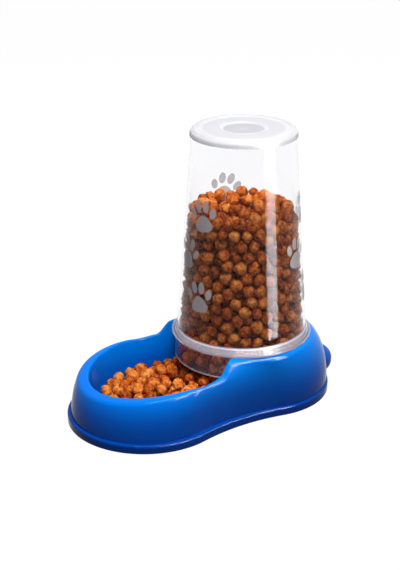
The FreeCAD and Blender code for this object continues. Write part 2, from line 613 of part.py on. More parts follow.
def make_lid():
    """Soft milky lid: a skirt round the mouth, a rounded crown, a dished face and a plug inside."""
    body = new_body("lid")
    taper = ("(Sizes.hopper_foot_radius - Sizes.hopper_mouth_radius)"
             " / (Sizes.hopper_height - Sizes.flange_lip - Sizes.flange_slope)")
    inner = "(Sizes.hopper_mouth_radius + Sizes.lid_play + Sizes.lid_skirt_depth * " + taper + ")"
    outer = "(" + inner + " + Sizes.lid_wall)"
    plug = "(Sizes.hopper_mouth_radius - Sizes.hopper_wall - Sizes.lid_play)"
    seat = "(" + MOUTH_HEIGHT + " + Sizes.seat_gap)"
    crown = rise(seat, "Sizes.lid_crown_height")
    face = crown + " - Sizes.lid_dish_depth"
    under = face + " - Sizes.lid_wall"
    recess = face + " - Sizes.lid_recess_depth"
    dish = "(" + outer + " - Sizes.lid_crown_width)"
    plug_inside = "(" + plug + " - Sizes.lid_wall)"
    outline = polygon_sketch(body, "lid_section", "XZ_Plane", (
        (outer, MOUTH_HEIGHT + " - Sizes.lid_skirt_depth"),
        (outer, crown),
        (dish, crown),
        (dish + " - Sizes.lid_dish_slope", face),
        ("Sizes.lid_ring_radius", face),
        ("Sizes.lid_ring_radius - Sizes.lid_ring_height", rise(face, "Sizes.lid_ring_height")),
        ("Sizes.lid_ring_radius - Sizes.lid_ring_width", rise(face, "Sizes.lid_ring_height")),
        ("Sizes.lid_recess_radius", recess),
        ("0", recess),
        ("0", recess + " - Sizes.lid_wall"),
        ("Sizes.lid_recess_radius + Sizes.lid_wall", recess + " - Sizes.lid_wall"),
        ("Sizes.lid_ring_radius + Sizes.lid_ring_height", under),
        (plug_inside, under),
        (plug_inside, MOUTH_HEIGHT + " - Sizes.lid_plug_depth"),
        (plug, MOUTH_HEIGHT + " - Sizes.lid_plug_depth"),
        (plug, seat),
        (inner, seat),
        (inner, MOUTH_HEIGHT + " - Sizes.lid_skirt_depth"),
    ))
    revolve(body, outline, "lid_turned")
    doc.recompute()
    round_edges(body, "lid_crown_round", ring_at(number(outer), number(crown)), "Sizes.lid_crown_rounding")
    round_edges(body, "lid_dish_round", ring_at(number(dish), number(crown)), "Sizes.lid_wall")
    round_edges(body, "lid_inner_round", ring_at(number(inner), number(seat)), "Sizes.lid_inner_rounding")
    return body


def make_foot(name, across, along):
    """Push-in rubber foot: a pad, a stem through its plate and a barbed head."""
    body = new_body(name)
    pad_top = "2 * Sizes.foot_gap"
    plate_top = rise(PLATE_HEIGHT, "Sizes.boss_thickness", "Sizes.seat_gap")
    edge = "Sizes.stem_play"
    outline = polygon_sketch(body, "foot_section", "XZ_Plane", (
        ("0", "0"),
        ("Sizes.rubber_radius - " + edge, "0"),
        ("Sizes.rubber_radius", edge),
        ("Sizes.rubber_radius", pad_top),
        ("Sizes.stem_radius", pad_top),
        ("Sizes.stem_radius", plate_top),
        ("Sizes.head_radius", plate_top),
        ("Sizes.stem_radius / 2", rise(plate_top, "Sizes.head_height")),
        ("0", rise(plate_top, "Sizes.head_height")),
    ))
    revolve(body, outline, "foot_turned")
    body.setExpression("Placement.Base.x", across)
    body.setExpression("Placement.Base.y", along + " + " + AXIS_SHIFT)
    return body


LUMP_DRIFT = 0.3
LUMP_UNEVENNESS = 0.2


def walk(path, pitch):
    """Rows along a side view: where each lies and which way is inwards, evenly spaced, ends included."""
    lengths = [math.dist(a, b) for a, b in zip(path, path[1:])]
    rows = max(2, round(sum(lengths) / pitch))
    for row in range(rows + 1):
        left = sum(lengths) * row / rows
        stretch = 0
        while stretch < len(lengths) - 1 and left > lengths[stretch]:
            left -= lengths[stretch]
            stretch += 1
        (radius, height), (next_radius, next_height) = path[stretch], path[stretch + 1]
        share = left / lengths[stretch]
        along = ((next_radius - radius) / lengths[stretch], (next_height - height) / lengths[stretch])
        place = (radius + share * (next_radius - radius), height + share * (next_height - height))
        yield place, (-along[1], along[0])


def lumpy_turning(label, foot, path, apex, seed):
    """Solid about the upright axis whose skin is a honeycomb of lumps, as packed kibbles make it.

    The skin goes from a flat foot along the path, given as radius and height, to an apex on the axis.
    Every lump is a blunt six-sided pyramid, and the hollows between the lumps lie on zigzag rings.
    """
    chance = random.Random(seed)
    pitch, relief = size("lump_pitch"), size("lump_relief")
    columns = 2 * round(math.pi * (path[0][0] + path[-1][0]) / pitch)
    rows = list(walk(path, pitch * math.sin(math.pi / 3)))

    def point(column, radius, height):
        turn = 2 * math.pi * column / columns
        return Vector(radius * math.cos(turn), radius * math.sin(turn), height)

    def plain_ring(radius, height):
        return [point(column, radius, height) for column in range(columns)]

    def hollow(row, column):
        (radius, height), inwards = rows[row]
        (next_radius, next_height), _ = rows[row + 1]
        share = (2 - (row + column) % 2) / 3
        depth = relief * chance.uniform(1 - LUMP_UNEVENNESS, 1)
        return point(column, radius + share * (next_radius - radius) + depth * inwards[0],
                     height + share * (next_height - height) + depth * inwards[1])

    rings = [plain_ring(*foot), plain_ring(*path[0])]
    rings += [[hollow(row, column) for column in range(columns)] for row in range(1, len(rows) - 2)]
    rings.append(plain_ring(*path[-1]))
    top = Vector(0, 0, apex)
    corners = []
    for column in range(columns):
        beside = (column + 1) % columns
        low, low_beside = rings[0][column], rings[0][beside]
        high, high_beside = rings[1][column], rings[1][beside]
        corners += [(low, low_beside, high_beside), (low, high_beside, high)]
        corners.append((rings[-1][column], rings[-1][beside], top))
    for row in range(1, len(rows) - 1):
        (radius, height), inwards = rows[row]
        for column in range(row % 2, columns, 2):
            depth = relief * chance.uniform(0, LUMP_UNEVENNESS)
            peak = point(column + chance.uniform(-LUMP_DRIFT, LUMP_DRIFT), radius + depth * inwards[0],
                         height + depth * inwards[1])
            before, after = (column - 1) % columns, (column + 1) % columns
            below, above = rings[row], rings[row + 1]
            edge = [below[before], below[column], below[after], above[after], above[column], above[before]]
            corners += [(peak, edge[side], edge[(side + 1) % 6]) for side in range(6)]
    faces = [Part.Face(Part.makePolygon([a, b, c, a])) for a, b, c in corners]
    faces.append(Part.Face(Part.makePolygon(rings[0] + rings[0][:1])))
    shell = Part.makeShell(faces)
    shell.sewShape()
    solid = doc.addObject("Part::Feature", label)
    solid.Label = label
    solid.Shape = Part.makeSolid(Part.Shell(shell.Faces))
    return solid


def make_food_in_hopper():
    """Column of dry food inside the hopper, slightly domed on top."""
    room = " - Sizes.hopper_wall - Sizes.food_play"
    seat = number(SEAT_HEIGHT)
    wall_foot = seat + number("Sizes.flange_lip + Sizes.flange_slope")
    level = seat + size("food_level")
    share = (level - wall_foot) / (number(MOUTH_HEIGHT) - wall_foot)
    bottom = seat - number("Sizes.neck_depth + Sizes.seat_gap")
    at_neck = number("Sizes.neck_radius" + room)
    at_foot = number("Sizes.hopper_foot_radius" + room)
    at_level = at_foot - share * number("Sizes.hopper_foot_radius - Sizes.hopper_mouth_radius")
    crest = level + size("food_dome")
    path = [(at_neck, bottom + size("lump_relief")), (at_neck, seat), (at_foot, wall_foot),
            (at_level, level), (at_level / 3, crest)]
    return lumpy_turning("kibble_in_hopper", (at_neck, bottom), path, crest, 5)


def make_food_in_bowl():
    """Dry food that has run out of the neck and heaped up in the bowl."""
    room = "(-Sizes.food_play)"
    space = combine("MultiFuse", "heap_room", [
        bowl_space("heap_bowl_room", room),
        well_space("heap_well_room", room)])
    neck_end = "(" + SEAT_HEIGHT + " - Sizes.neck_depth - Sizes.food_play)"
    slide = doc.addObject("Part::Cone", "heap_slide")
    slide.setExpression("Radius1", "Sizes.neck_radius + " + neck_end + " * tan(Sizes.heap_slope * 1 deg)"
                        " - Sizes.heap_repose")
    slide.setExpression("Radius2", "Sizes.neck_radius - Sizes.heap_repose")
    slide.setExpression("Height", neck_end)
    reach = size("bowl_half_length") + size("lump_relief")
    crest = size("heap_height")
    low = crest - size("heap_drop") * (reach / size("bowl_half_width")) ** 2
    mound = lumpy_turning("heap_mound", (reach, 0), [(reach, low), (reach / 2, crest - (crest - low) / 4),
                                                     (reach / 4, crest)], crest, 8)
    mound.setExpression("Placement.Base.y", "-" + BOWL_DISTANCE)
    return combine("Common", "kibble_in_bowl", (space, combine("MultiFuse", "heap_form", [slide, mound])))


pieces = {
    "base": make_base(),
    "hopper": make_hopper(),
    "lid": make_lid(),
    "kibble_in_hopper": make_food_in_hopper(),
    "kibble_in_bowl": make_food_in_bowl(),
}
for piece in pieces.values():
    piece.setExpression("Placement.Base.y", AXIS_SHIFT)
for foot_name, foot_across, foot_along in foot_places():
    pieces[foot_name] = make_foot(foot_name, foot_across, foot_along)
doc.recompute()

for item in doc.Objects:
    if "Invalid" in item.State or "Error" in item.State:
        raise RuntimeError("%s failed: %s" % (item.Label, item.State))
os.makedirs("parts", exist_ok=True)
for name, piece in pieces.items():
    if piece.Shape.isNull() or not piece.Shape.isValid():
        raise RuntimeError(name + " has no valid shape")
    piece.Shape.exportStep("parts/%s.step" % name)
    box = piece.Shape.optimalBoundingBox(True, False)
    print("%-18s %9.0f mm3  X %.1f to %.1f  Y %.1f to %.1f  Z %.1f to %.1f" % (
        name, piece.Shape.Volume, box.XMin, box.XMax, box.YMin, box.YMax, box.ZMin, box.ZMax))
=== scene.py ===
# %% [markdown]
# # A gravity pet feeder
# A blue moulded bowl carries a clear, tapered hopper full of dry food. The food slides down into the bowl
# as it is eaten. The exact shells come from the CAD model. This lesson gives them their plastics, fills
# them with single kibbles, prints frosted paws on the hopper and lights it all like a studio packshot.

import math

import bmesh
import bpy
import numpy as np
from mathutils import Euler, Matrix, Vector
from mathutils.bvhtree import BVHTree


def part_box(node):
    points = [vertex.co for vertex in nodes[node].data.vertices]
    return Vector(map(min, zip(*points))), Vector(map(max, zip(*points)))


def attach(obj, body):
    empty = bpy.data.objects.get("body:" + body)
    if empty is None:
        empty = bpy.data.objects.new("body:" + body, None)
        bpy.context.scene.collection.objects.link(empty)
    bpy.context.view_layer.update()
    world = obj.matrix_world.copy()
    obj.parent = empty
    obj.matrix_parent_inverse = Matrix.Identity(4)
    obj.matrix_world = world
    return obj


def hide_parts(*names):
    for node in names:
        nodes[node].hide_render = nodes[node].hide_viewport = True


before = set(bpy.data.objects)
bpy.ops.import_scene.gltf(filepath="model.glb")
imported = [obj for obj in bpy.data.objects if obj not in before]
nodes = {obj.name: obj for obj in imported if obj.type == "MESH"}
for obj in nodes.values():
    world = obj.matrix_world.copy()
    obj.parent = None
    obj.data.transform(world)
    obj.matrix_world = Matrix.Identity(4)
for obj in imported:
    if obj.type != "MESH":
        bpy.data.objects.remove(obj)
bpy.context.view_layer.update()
bpy.ops.object.select_all(action="DESELECT")
MM = 0.001
print("CAD nodes:", ", ".join(sorted(nodes)))

# %% [markdown]
# The camera comes first, because everything else is judged through it. The hopper is round, so its rims
# show as ellipses in a photograph, and their shapes give the camera's height, tilt and distance. It could
# be placed by eye, but numbers solved from the ellipses put the edges where the photograph has them. The
# camera stands beside the bowl, a good metre from the hopper, and looks down by 22 degrees.

# %% Camera
hopper_low, hopper_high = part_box("hopper")
hopper_axis = Vector(((hopper_low.x + hopper_high.x) / 2, (hopper_low.y + hopper_high.y) / 2, 0))
# Places are in metres, the lens and its sensor in millimetres
CAMERA_DISTANCE = 1.2743
CAMERA_HEIGHT = 0.6564
CAMERA_BEARING = math.radians(55.98)
CAMERA_HEADING = math.radians(58.12)
CAMERA_TILT = math.radians(22.39)
FOCAL_LENGTH = 76.28
SENSOR_WIDTH = 36

camera_data = bpy.data.cameras.new("camera")
camera_data.lens = FOCAL_LENGTH
camera_data.sensor_width = SENSOR_WIDTH
camera = bpy.data.objects.new("camera", camera_data)
bpy.context.scene.collection.objects.link(camera)
camera.location = hopper_axis + Vector((math.sin(CAMERA_BEARING) * CAMERA_DISTANCE,
                                        -math.cos(CAMERA_BEARING) * CAMERA_DISTANCE, CAMERA_HEIGHT))
camera.rotation_euler = Euler((math.pi / 2 - CAMERA_TILT, 0, CAMERA_HEADING))
bpy.context.scene.camera = camera
bpy.context.scene.view_settings.view_transform = "Standard"
print("camera at", [round(x, 3) for x in camera.location])

# %% [markdown]
# A few small helpers carry all the materials. Colours are picked as sRGB hex codes, the way a colour picker
# shows them, but shaders add light in linear values, so one function converts them. Another adds a node,
# sets its sockets and links it, which keeps a material down to a few readable lines. The others start an
# empty material, fill a colour ramp with its stops, mix two colours and give a CAD node its finish.

# %% Helpers for colours and nodes
def linear(hex_code, alpha=1.0):
    """Linear RGBA of an sRGB hex code such as #1E74D6."""
    parts = [int(hex_code[i:i + 2], 16) / 255 for i in (1, 3, 5)]
    return tuple(p / 12.92 if p <= 0.04045 else ((p + 0.055) / 1.055) ** 2.4 for p in parts) + (alpha,)


def add_node(tree, kind, sockets=None, **settings):
    """Add a node, set its settings, and give each socket a value or a link from another node's output."""
    node = tree.nodes.new(kind)
    for name, value in settings.items():
        setattr(node, name, value)
    for name, value in (sockets or {}).items():
        if isinstance(value, bpy.types.NodeSocket):
            tree.links.new(value, node.inputs[name])
        else:
            node.inputs[name].default_value = value
    return node


def new_material(name):
    material = bpy.data.materials.new(name)
    material.use_nodes = True
    material.node_tree.nodes.clear()
    return material, material.node_tree


def fill_ramp(ramp, stops):
    """Give a colour ramp its stops, each a position and a linear colour."""
    while len(ramp.elements) < len(stops):
        ramp.elements.new(1.0)
    for element, (position, colour) in zip(ramp.elements, stops):
        element.position = position
        element.color = colour


def mixed(dark, pale, tone):
    """Colour between two hex codes: the dark one at tone 0, the pale one at tone 1."""
    return tuple(a + (b - a) * tone for a, b in zip(linear(dark), linear(pale)))


def paint(node_name, material):
    """Give a CAD node one material."""
    mesh = nodes[node_name].data
    mesh.materials.clear()
    mesh.materials.append(material)


print("pure red is", linear("#FF0000"), "and mid grey", [round(x, 3) for x in linear("#808080")])

# %% [markdown]
# The studio is a pale floor under a white surround. White paper all round would be the plain way, but it
# throws light back from below and flattens everything. So both are white only for the camera, and for what
# glass and gloss show. For scattered light the surround is dim and the floor grey, and the walls of the bowl
# fall off towards the floor, with painted shade in the blue doing the rest. The floor still darkens where
# the feeder shades it.

# %% Floor and surround
SURROUND_LIGHT = 0.03
FLOOR_GREY = "#404042"
FLOOR_GLOW = 0.98
FLOOR_SIZE = 8


def seen_directly(tree):
    """1 for rays from the camera and for what glass and gloss show it, 0 for scattered light."""
    path = add_node(tree, "ShaderNodeLightPath")
    first = add_node(tree, "ShaderNodeMath", {0: path.outputs["Is Camera Ray"],
                                              1: path.outputs["Is Glossy Ray"]}, operation="ADD")
    shown = add_node(tree, "ShaderNodeMath", {0: first.outputs[0], 1: path.outputs["Is Transmission Ray"]},
                     operation="ADD", use_clamp=True)
    return add_node(tree, "ShaderNodeMath", {0: shown.outputs[0], 1: path.outputs["Diffuse Depth"]},
                    operation="SUBTRACT", use_clamp=True).outputs[0]


world = bpy.data.worlds.new("studio")
bpy.context.scene.world = world
world.use_nodes = True
tree = world.node_tree
tree.nodes.clear()
strength = add_node(tree, "ShaderNodeMapRange", {"Value": seen_directly(tree), "To Min": SURROUND_LIGHT,
                                                 "To Max": 1.0})
background = add_node(tree, "ShaderNodeBackground", {"Color": (1, 1, 1, 1),
                                                     "Strength": strength.outputs[0]})
add_node(tree, "ShaderNodeOutputWorld", {"Surface": background.outputs[0]})

bpy.ops.mesh.primitive_plane_add(size=FLOOR_SIZE, location=(0, 0, 0))
floor = bpy.context.object
floor.name = "floor"
floor_paint, tree = new_material("painted studio floor")
matt = add_node(tree, "ShaderNodeBsdfDiffuse", {"Color": linear(FLOOR_GREY)})
glow_strength = add_node(tree, "ShaderNodeMath", {0: seen_directly(tree), 1: FLOOR_GLOW},
                         operation="MULTIPLY")
glow = add_node(tree, "ShaderNodeEmission", {"Strength": glow_strength.outputs[0]})
both = add_node(tree, "ShaderNodeAddShader", {0: matt.outputs[0], 1: glow.outputs[0]})
add_node(tree, "ShaderNodeOutputMaterial", {"Surface": both.outputs[0]})
floor.data.materials.append(floor_paint)
print("floor and surround are ready")

# %% [markdown]
# A packshot is lit by large soft lamps. One wide softbox hangs above the feeder, a little towards the
# camera, and gives nearly all the light: the top of the food and the rims are bright, and the walls fall
# off. Glossy plastic also shows what stands around it. A tall strip lamp close to the hopper is mirrored as
# the long pale band on its wall, and a window of two panes as thin glints on the blue edges. If these lit
# the food as well, it would turn pale. So matt surfaces don't see them, and their strength is nothing for
# light that has already left a matt surface and comes back through the clear wall. The camera sees no lamp.

# %% Lamps
SOFTBOX_PLACE = Vector((0.75, -0.2, 2.05))
SOFTBOX_TARGET = Vector((0, 0, 0.1))
STRIP_TARGET = hopper_axis + Vector((0.05, 0.02, 0.2))
STRIP_PLACE = STRIP_TARGET + Vector((0.166, 0.035, 0))
SHOULDER = Vector((0.07, 0, 0.07))
WINDOW_OFFSET = Vector((0.8, 0.22, 0.5))
PANE_SPREAD = 0.1


def add_lamp(name, place, target, width, height, watts, lights_matt_things=True):
    lamp = bpy.data.lights.new(name, "AREA")
    lamp.shape = "RECTANGLE"
    lamp.size = width
    lamp.size_y = height
    lamp.energy = watts
    holder = bpy.data.objects.new(name, lamp)
    bpy.context.scene.collection.objects.link(holder)
    holder.location = place
    holder.rotation_euler = (target - place).to_track_quat("-Z", "Y").to_euler()
    holder.visible_camera = False
    holder.visible_transmission = False
    holder.visible_diffuse = lights_matt_things
    if not lights_matt_things:
        lamp.use_nodes = True
        emission = lamp.node_tree.nodes["Emission"]
        depth = add_node(lamp.node_tree, "ShaderNodeLightPath").outputs["Diffuse Depth"]
        mirrored = add_node(lamp.node_tree, "ShaderNodeMath", {0: 1.0, 1: depth}, operation="SUBTRACT",
                            use_clamp=True)
        lamp.node_tree.links.new(mirrored.outputs[0], emission.inputs["Strength"])


add_lamp("overhead softbox", SOFTBOX_PLACE, SOFTBOX_TARGET, 1.1, 0.9, 60)
add_lamp("strip at the right", STRIP_PLACE, STRIP_TARGET, 0.062, 0.31, 4.0, lights_matt_things=False)
for side in (-1, 1):
    pane_place = SHOULDER + WINDOW_OFFSET + Vector((0, PANE_SPREAD * side, 0))
    add_lamp("window pane", pane_place, SHOULDER, 0.13, 0.5, 24, lights_matt_things=False)

# %% [markdown]
# The base is one injection-moulded shell of polypropylene. A polished steel mould gives it its gloss, and
# the melt leaves a very faint orange peel and slightly patchy colour. The blue looks lighter at the rim
# and deeper at the foot. Light from above gives a part of that. Steeper light on one even blue could give
# the rest, but only from one side, so the rest is painted shade: a deeper blue towards the foot.
# The mirrored share is kept below the real plastic's, or the white studio would lay a veil over the blue.

# %% Blue moulded polypropylene
RIM_HEIGHT = 72 * MM
# Painted shade: deep navy at the foot, bright blue at the rim
BLUE_TONES_WITH_PAINTED_SHADE = ((0.0, "#002A7C"), (0.55, "#005CCB"), (1.0, "#008AFF"))


def moulded_polypropylene():
    material, tree = new_material("moulded polypropylene")
    where = add_node(tree, "ShaderNodeTexCoord").outputs["Object"]
    flow = add_node(tree, "ShaderNodeTexNoise", {"Vector": where, "Scale": 1 / (60 * MM), "Detail": 2.0})
    # The height mixes painted shade into the blue, deeper towards the foot; the flow noise is real patchiness
    height = add_node(tree, "ShaderNodeSeparateXYZ", {"Vector": where}).outputs["Z"]
    share = add_node(tree, "ShaderNodeMapRange", {"Value": height, "From Max": RIM_HEIGHT, "To Max": 1.05})
    flow_and_height_shade = add_node(tree, "ShaderNodeMath", {0: flow.outputs["Fac"], 1: 0.08, 2: share.outputs[0]},
                      operation="MULTIPLY_ADD")
    pigment_and_painted_shade = add_node(tree, "ShaderNodeValToRGB", {"Fac": flow_and_height_shade.outputs[0]})
    fill_ramp(pigment_and_painted_shade.color_ramp, [(position, linear(blue)) for position, blue in BLUE_TONES_WITH_PAINTED_SHADE])
    wear = add_node(tree, "ShaderNodeTexNoise", {"Vector": where, "Scale": 1 / (18 * MM), "Detail": 4.0})
    roughness = add_node(tree, "ShaderNodeMapRange", {"Value": wear.outputs["Fac"], "To Min": 0.1,
                                                      "To Max": 0.18})
    peel = add_node(tree, "ShaderNodeTexNoise", {"Vector": where, "Scale": 1 / (2.5 * MM), "Detail": 1.0})
    bump = add_node(tree, "ShaderNodeBump", {"Height": peel.outputs["Fac"], "Strength": 0.04,
                                             "Distance": 0.2 * MM})
    plastic = add_node(tree, "ShaderNodeBsdfPrincipled", {
        "Base Color": pigment_and_painted_shade.outputs["Color"], "Roughness": roughness.outputs[0], "IOR": 1.49,
        "Specular IOR Level": 0.045, "Normal": bump.outputs["Normal"]})
    add_node(tree, "ShaderNodeOutputMaterial", {"Surface": plastic.outputs[0]})
    return material


paint("base", moulded_polypropylene())
print("base painted with", len(BLUE_TONES_WITH_PAINTED_SHADE), "blues up to a height of", round(RIM_HEIGHT / MM), "mm")

# %% [markdown]
# The hopper is clear polystyrene. It is almost invisible face on and shows at its edges, where the eye looks
# along the wall. Real polystyrene has an index of refraction of 1.59. With that, the white studio mirrored
# in both faces of the wall lays a veil over the food, so the index is set lower. Real clear plastic lets
# lamps shine through to the food, but a renderer treats refracting walls as solid for shadows, so shadow
# rays are let straight through. The flange and the neck look satin: they scatter a little light. The thin
# pale lines at the end of the neck, at the flange's edge and at the foot of the wall are painted highlights.
# How much is read from the height above the end of the neck, with a ramp whose stops are in millimetres.
# A second material would need a border cut into the CAD mesh.

# %% Clear polystyrene
HAZE_HEIGHT = 40.0
# Height in mm and amount: satin, and painted highlight lines at the neck's end, flange edge and wall foot
SATIN_AND_HIGHLIGHT_STOPS = ((0.0, 0.7), (0.8, 0.7), (1.2, 0.07), (26.8, 0.07), (27.6, 0.45), (29.4, 0.5), (30.2, 0.28),
              (34.6, 0.28), (35.3, 0.8), (36.2, 0.8), (36.8, 0.0))


def clear_polystyrene():
    material, tree = new_material("clear polystyrene")
    plastic = add_node(tree, "ShaderNodeBsdfPrincipled", {
        "Base Color": linear("#FCFCFD"), "Roughness": 0.0, "IOR": 1.15, "Transmission Weight": 1.0})
    satin = add_node(tree, "ShaderNodeBsdfPrincipled", {"Base Color": linear("#DCDCEC"), "Roughness": 0.3,
                                                        "IOR": 1.45})
    where = add_node(tree, "ShaderNodeTexCoord").outputs["Object"]
    height = add_node(tree, "ShaderNodeSeparateXYZ", {"Vector": where}).outputs["Z"]
    share = add_node(tree, "ShaderNodeMapRange", {"Value": height, "From Min": hopper_low.z,
                                                  "From Max": hopper_low.z + HAZE_HEIGHT * MM})
    # Satin and painted highlight lines, read from the height
    satin_and_highlight = add_node(tree, "ShaderNodeValToRGB", {"Fac": share.outputs[0]})
    fill_ramp(satin_and_highlight.color_ramp, [(level / HAZE_HEIGHT, (amount, amount, amount, 1))
                                for level, amount in SATIN_AND_HIGHLIGHT_STOPS])
    surface = add_node(tree, "ShaderNodeMixShader", {0: satin_and_highlight.outputs["Color"], 1: plastic.outputs[0],
                                                     2: satin.outputs[0]})
    open_way = add_node(tree, "ShaderNodeBsdfTransparent", {"Color": linear("#B8B8BA")})
    path = add_node(tree, "ShaderNodeLightPath")
    wall = add_node(tree, "ShaderNodeMixShader", {0: path.outputs["Is Shadow Ray"], 1: surface.outputs[0],
                                                  2: open_way.outputs[0]})
    add_node(tree, "ShaderNodeOutputMaterial", {"Surface": wall.outputs[0]})
    return material


paint("hopper", clear_polystyrene())
print("hopper painted, satin up to", SATIN_AND_HIGHLIGHT_STOPS[-1][0], "mm above the end of its neck")

# %% [markdown]
# The lid is low-density polyethylene: soft, a little waxy and milky, because light scatters inside it.
# True scattering in a thin wall renders slowly and with noise, so a part of the light goes through a rough
# surface instead. Where the wall is thick it looks whiter, so the raised rings are paler; the recess is also
# painted darker, as painted shade. The tone is read from the distance to the lid's axis, in millimetres.

# %% Milky polyethylene
LID_REACH = 60.0
# Tones by distance from the axis: paler thick rings, and a recess painted darker as painted shade
LID_TONES_AND_SHADE = ((0.0, 0.3), (5.6, 0.3), (6.2, 0.12), (22.6, 0.05), (23.8, 0.75), (27.0, 0.75), (28.2, 0.45),
             (45.2, 0.4), (46.6, 0.8), (49.4, 0.8), (51.0, 0.55), (58.0, 1.0))


def milky_polyethylene():
    material, tree = new_material("milky polyethylene")
    where = add_node(tree, "ShaderNodeTexCoord").outputs["Object"]
    centred = add_node(tree, "ShaderNodeMapping", {"Vector": where, "Location": -hopper_axis})
    flat = add_node(tree, "ShaderNodeVectorMath", {0: centred.outputs[0], 1: (1, 1, 0)}, operation="MULTIPLY")
    reach = add_node(tree, "ShaderNodeVectorMath", {0: flat.outputs[0]}, operation="LENGTH")
    cloud = add_node(tree, "ShaderNodeTexNoise", {"Vector": where, "Scale": 1 / (12 * MM), "Detail": 3.0})
    wander = add_node(tree, "ShaderNodeMath", {0: cloud.outputs["Fac"], 1: 1.5 * MM,
                                               2: reach.outputs["Value"]}, operation="MULTIPLY_ADD")
    share = add_node(tree, "ShaderNodeMapRange", {"Value": wander.outputs[0], "From Max": LID_REACH * MM})
    colour = add_node(tree, "ShaderNodeValToRGB", {"Fac": share.outputs[0]})
    fill_ramp(colour.color_ramp, [(radius / LID_REACH, mixed("#BEBEC1", "#E4E4E7", tone))
                                  for radius, tone in LID_TONES_AND_SHADE])
    bump = add_node(tree, "ShaderNodeBump", {"Height": cloud.outputs["Fac"], "Strength": 0.05,
                                             "Distance": 0.5 * MM})
    plastic = add_node(tree, "ShaderNodeBsdfPrincipled", {
        "Base Color": colour.outputs["Color"], "Roughness": 0.38, "IOR": 1.3,
        "Transmission Weight": 0.4, "Normal": bump.outputs["Normal"]})
    open_way = add_node(tree, "ShaderNodeBsdfTransparent", {"Color": linear("#F4F4F6")})
    path = add_node(tree, "ShaderNodeLightPath")
    skin = add_node(tree, "ShaderNodeMixShader", {0: path.outputs["Is Shadow Ray"], 1: plastic.outputs[0],
                                                  2: open_way.outputs[0]})
    add_node(tree, "ShaderNodeOutputMaterial", {"Surface": skin.outputs[0]})
    return material


paint("lid", milky_polyethylene())
print("lid painted with", len(LID_TONES_AND_SHADE), "tones from its middle to its edge")

# %% [markdown]
# The four feet are pressed in from below. They are dark grey moulded rubber: matt, with a fine grain. The
# real grain is finer than a pixel, so it is drawn as coarse as it needs to show, at 0.8 millimetres. They
# share one material, because they come from one mould.

# %% Moulded rubber
def moulded_rubber():
    material, tree = new_material("moulded rubber")
    where = add_node(tree, "ShaderNodeTexCoord").outputs["Object"]
    grain = add_node(tree, "ShaderNodeTexNoise", {"Vector": where, "Scale": 1 / (0.8 * MM), "Detail": 2.0})
    colour = add_node(tree, "ShaderNodeMix", {"Factor": grain.outputs["Fac"], "A": linear("#333336"),
                                              "B": linear("#434347")}, data_type="RGBA")
    bump = add_node(tree, "ShaderNodeBump", {"Height": grain.outputs["Fac"], "Strength": 0.2,
                                             "Distance": 0.1 * MM})
    rubber = add_node(tree, "ShaderNodeBsdfPrincipled", {"Base Color": colour.outputs["Result"],
                                                         "Roughness": 0.75, "Normal": bump.outputs["Normal"]})
    add_node(tree, "ShaderNodeOutputMaterial", {"Surface": rubber.outputs[0]})
    return material


rubber_finish = moulded_rubber()
feet = sorted(name for name in nodes if name.startswith("foot_"))
for name in feet:
    paint(name, rubber_finish)
print(len(feet), "feet painted")

# %% [markdown]
# Dry food is dough that was cut, puffed and baked: a rough brown crust, paler where it was rubbed. Real pits
# could be modelled, but not on a thousand kibbles. A coarse noise gives the blisters and a fine one the grit,
# and both feed the bump and the colour, so that the hollows are painted darker, as painted shade that the
# bump can't cast. Every kibble also carries its own number, `tone`, so that no two have the same brown.

# %% Baked dough
# The darkest brown is painted shade in the hollows
CRUST_AND_SHADE_TONES = ((0.46, "#3C0E02"), (0.68, "#CC5C16"), (0.95, "#FFA64E"))


def baked_dough():
    material, tree = new_material("baked dough")
    where = add_node(tree, "ShaderNodeTexCoord").outputs["Object"]
    blisters = add_node(tree, "ShaderNodeTexNoise", {"Vector": where, "Scale": 1 / (4.5 * MM), "Detail": 3.0,
                                                     "Roughness": 0.6})
    grit = add_node(tree, "ShaderNodeTexNoise", {"Vector": where, "Scale": 1 / (1.4 * MM), "Detail": 3.0,
                                                 "Roughness": 0.7})
    # The relief also darkens the colour in its hollows: painted shade
    relief_and_hollow_shade = add_node(tree, "ShaderNodeMath", {0: grit.outputs["Fac"], 1: 0.45,
                                               2: blisters.outputs["Fac"]}, operation="MULTIPLY_ADD")
    tone = add_node(tree, "ShaderNodeAttribute", attribute_name="tone")
    baked = add_node(tree, "ShaderNodeMath", {0: relief_and_hollow_shade.outputs[0], 1: tone.outputs["Fac"]},
                     operation="MULTIPLY")
    crust_and_hollow_shade = add_node(tree, "ShaderNodeValToRGB", {"Fac": baked.outputs[0]})
    fill_ramp(crust_and_hollow_shade.color_ramp, [(position, linear(brown)) for position, brown in CRUST_AND_SHADE_TONES])
    bump = add_node(tree, "ShaderNodeBump", {"Height": relief_and_hollow_shade.outputs[0], "Strength": 1.0,
                                             "Distance": 2.2 * MM})
    crumb = add_node(tree, "ShaderNodeBsdfPrincipled", {
        "Base Color": crust_and_hollow_shade.outputs["Color"], "Roughness": 0.8, "Specular IOR Level": 0.05,
        "Normal": bump.outputs["Normal"]})
    add_node(tree, "ShaderNodeOutputMaterial", {"Surface": crumb.outputs[0]})
    return material


dough = baked_dough()
print("crust has", len(CRUST_AND_SHADE_TONES), "browns")

# %% [markdown]
# A real kibble is a lumpy button some thirteen millimetres across. Three shapes are enough, because each
# copy is turned another way. They start as spheres of some fifty faces, few enough for a thousand copies.
# One is flattened to a button, one is stretched a little and one stays nearly round, and a seeded random
# push on their points makes them lumpy. Smooth shading hides how few faces there are.

# %% Model three kibbles
KIBBLE_RADIUS = 7.1 * MM
KIBBLE_SHAPES = ((1.0, 1.0, 0.78), (1.12, 0.94, 0.9), (0.96, 1.06, 1.0))
LUMPINESS = 0.13


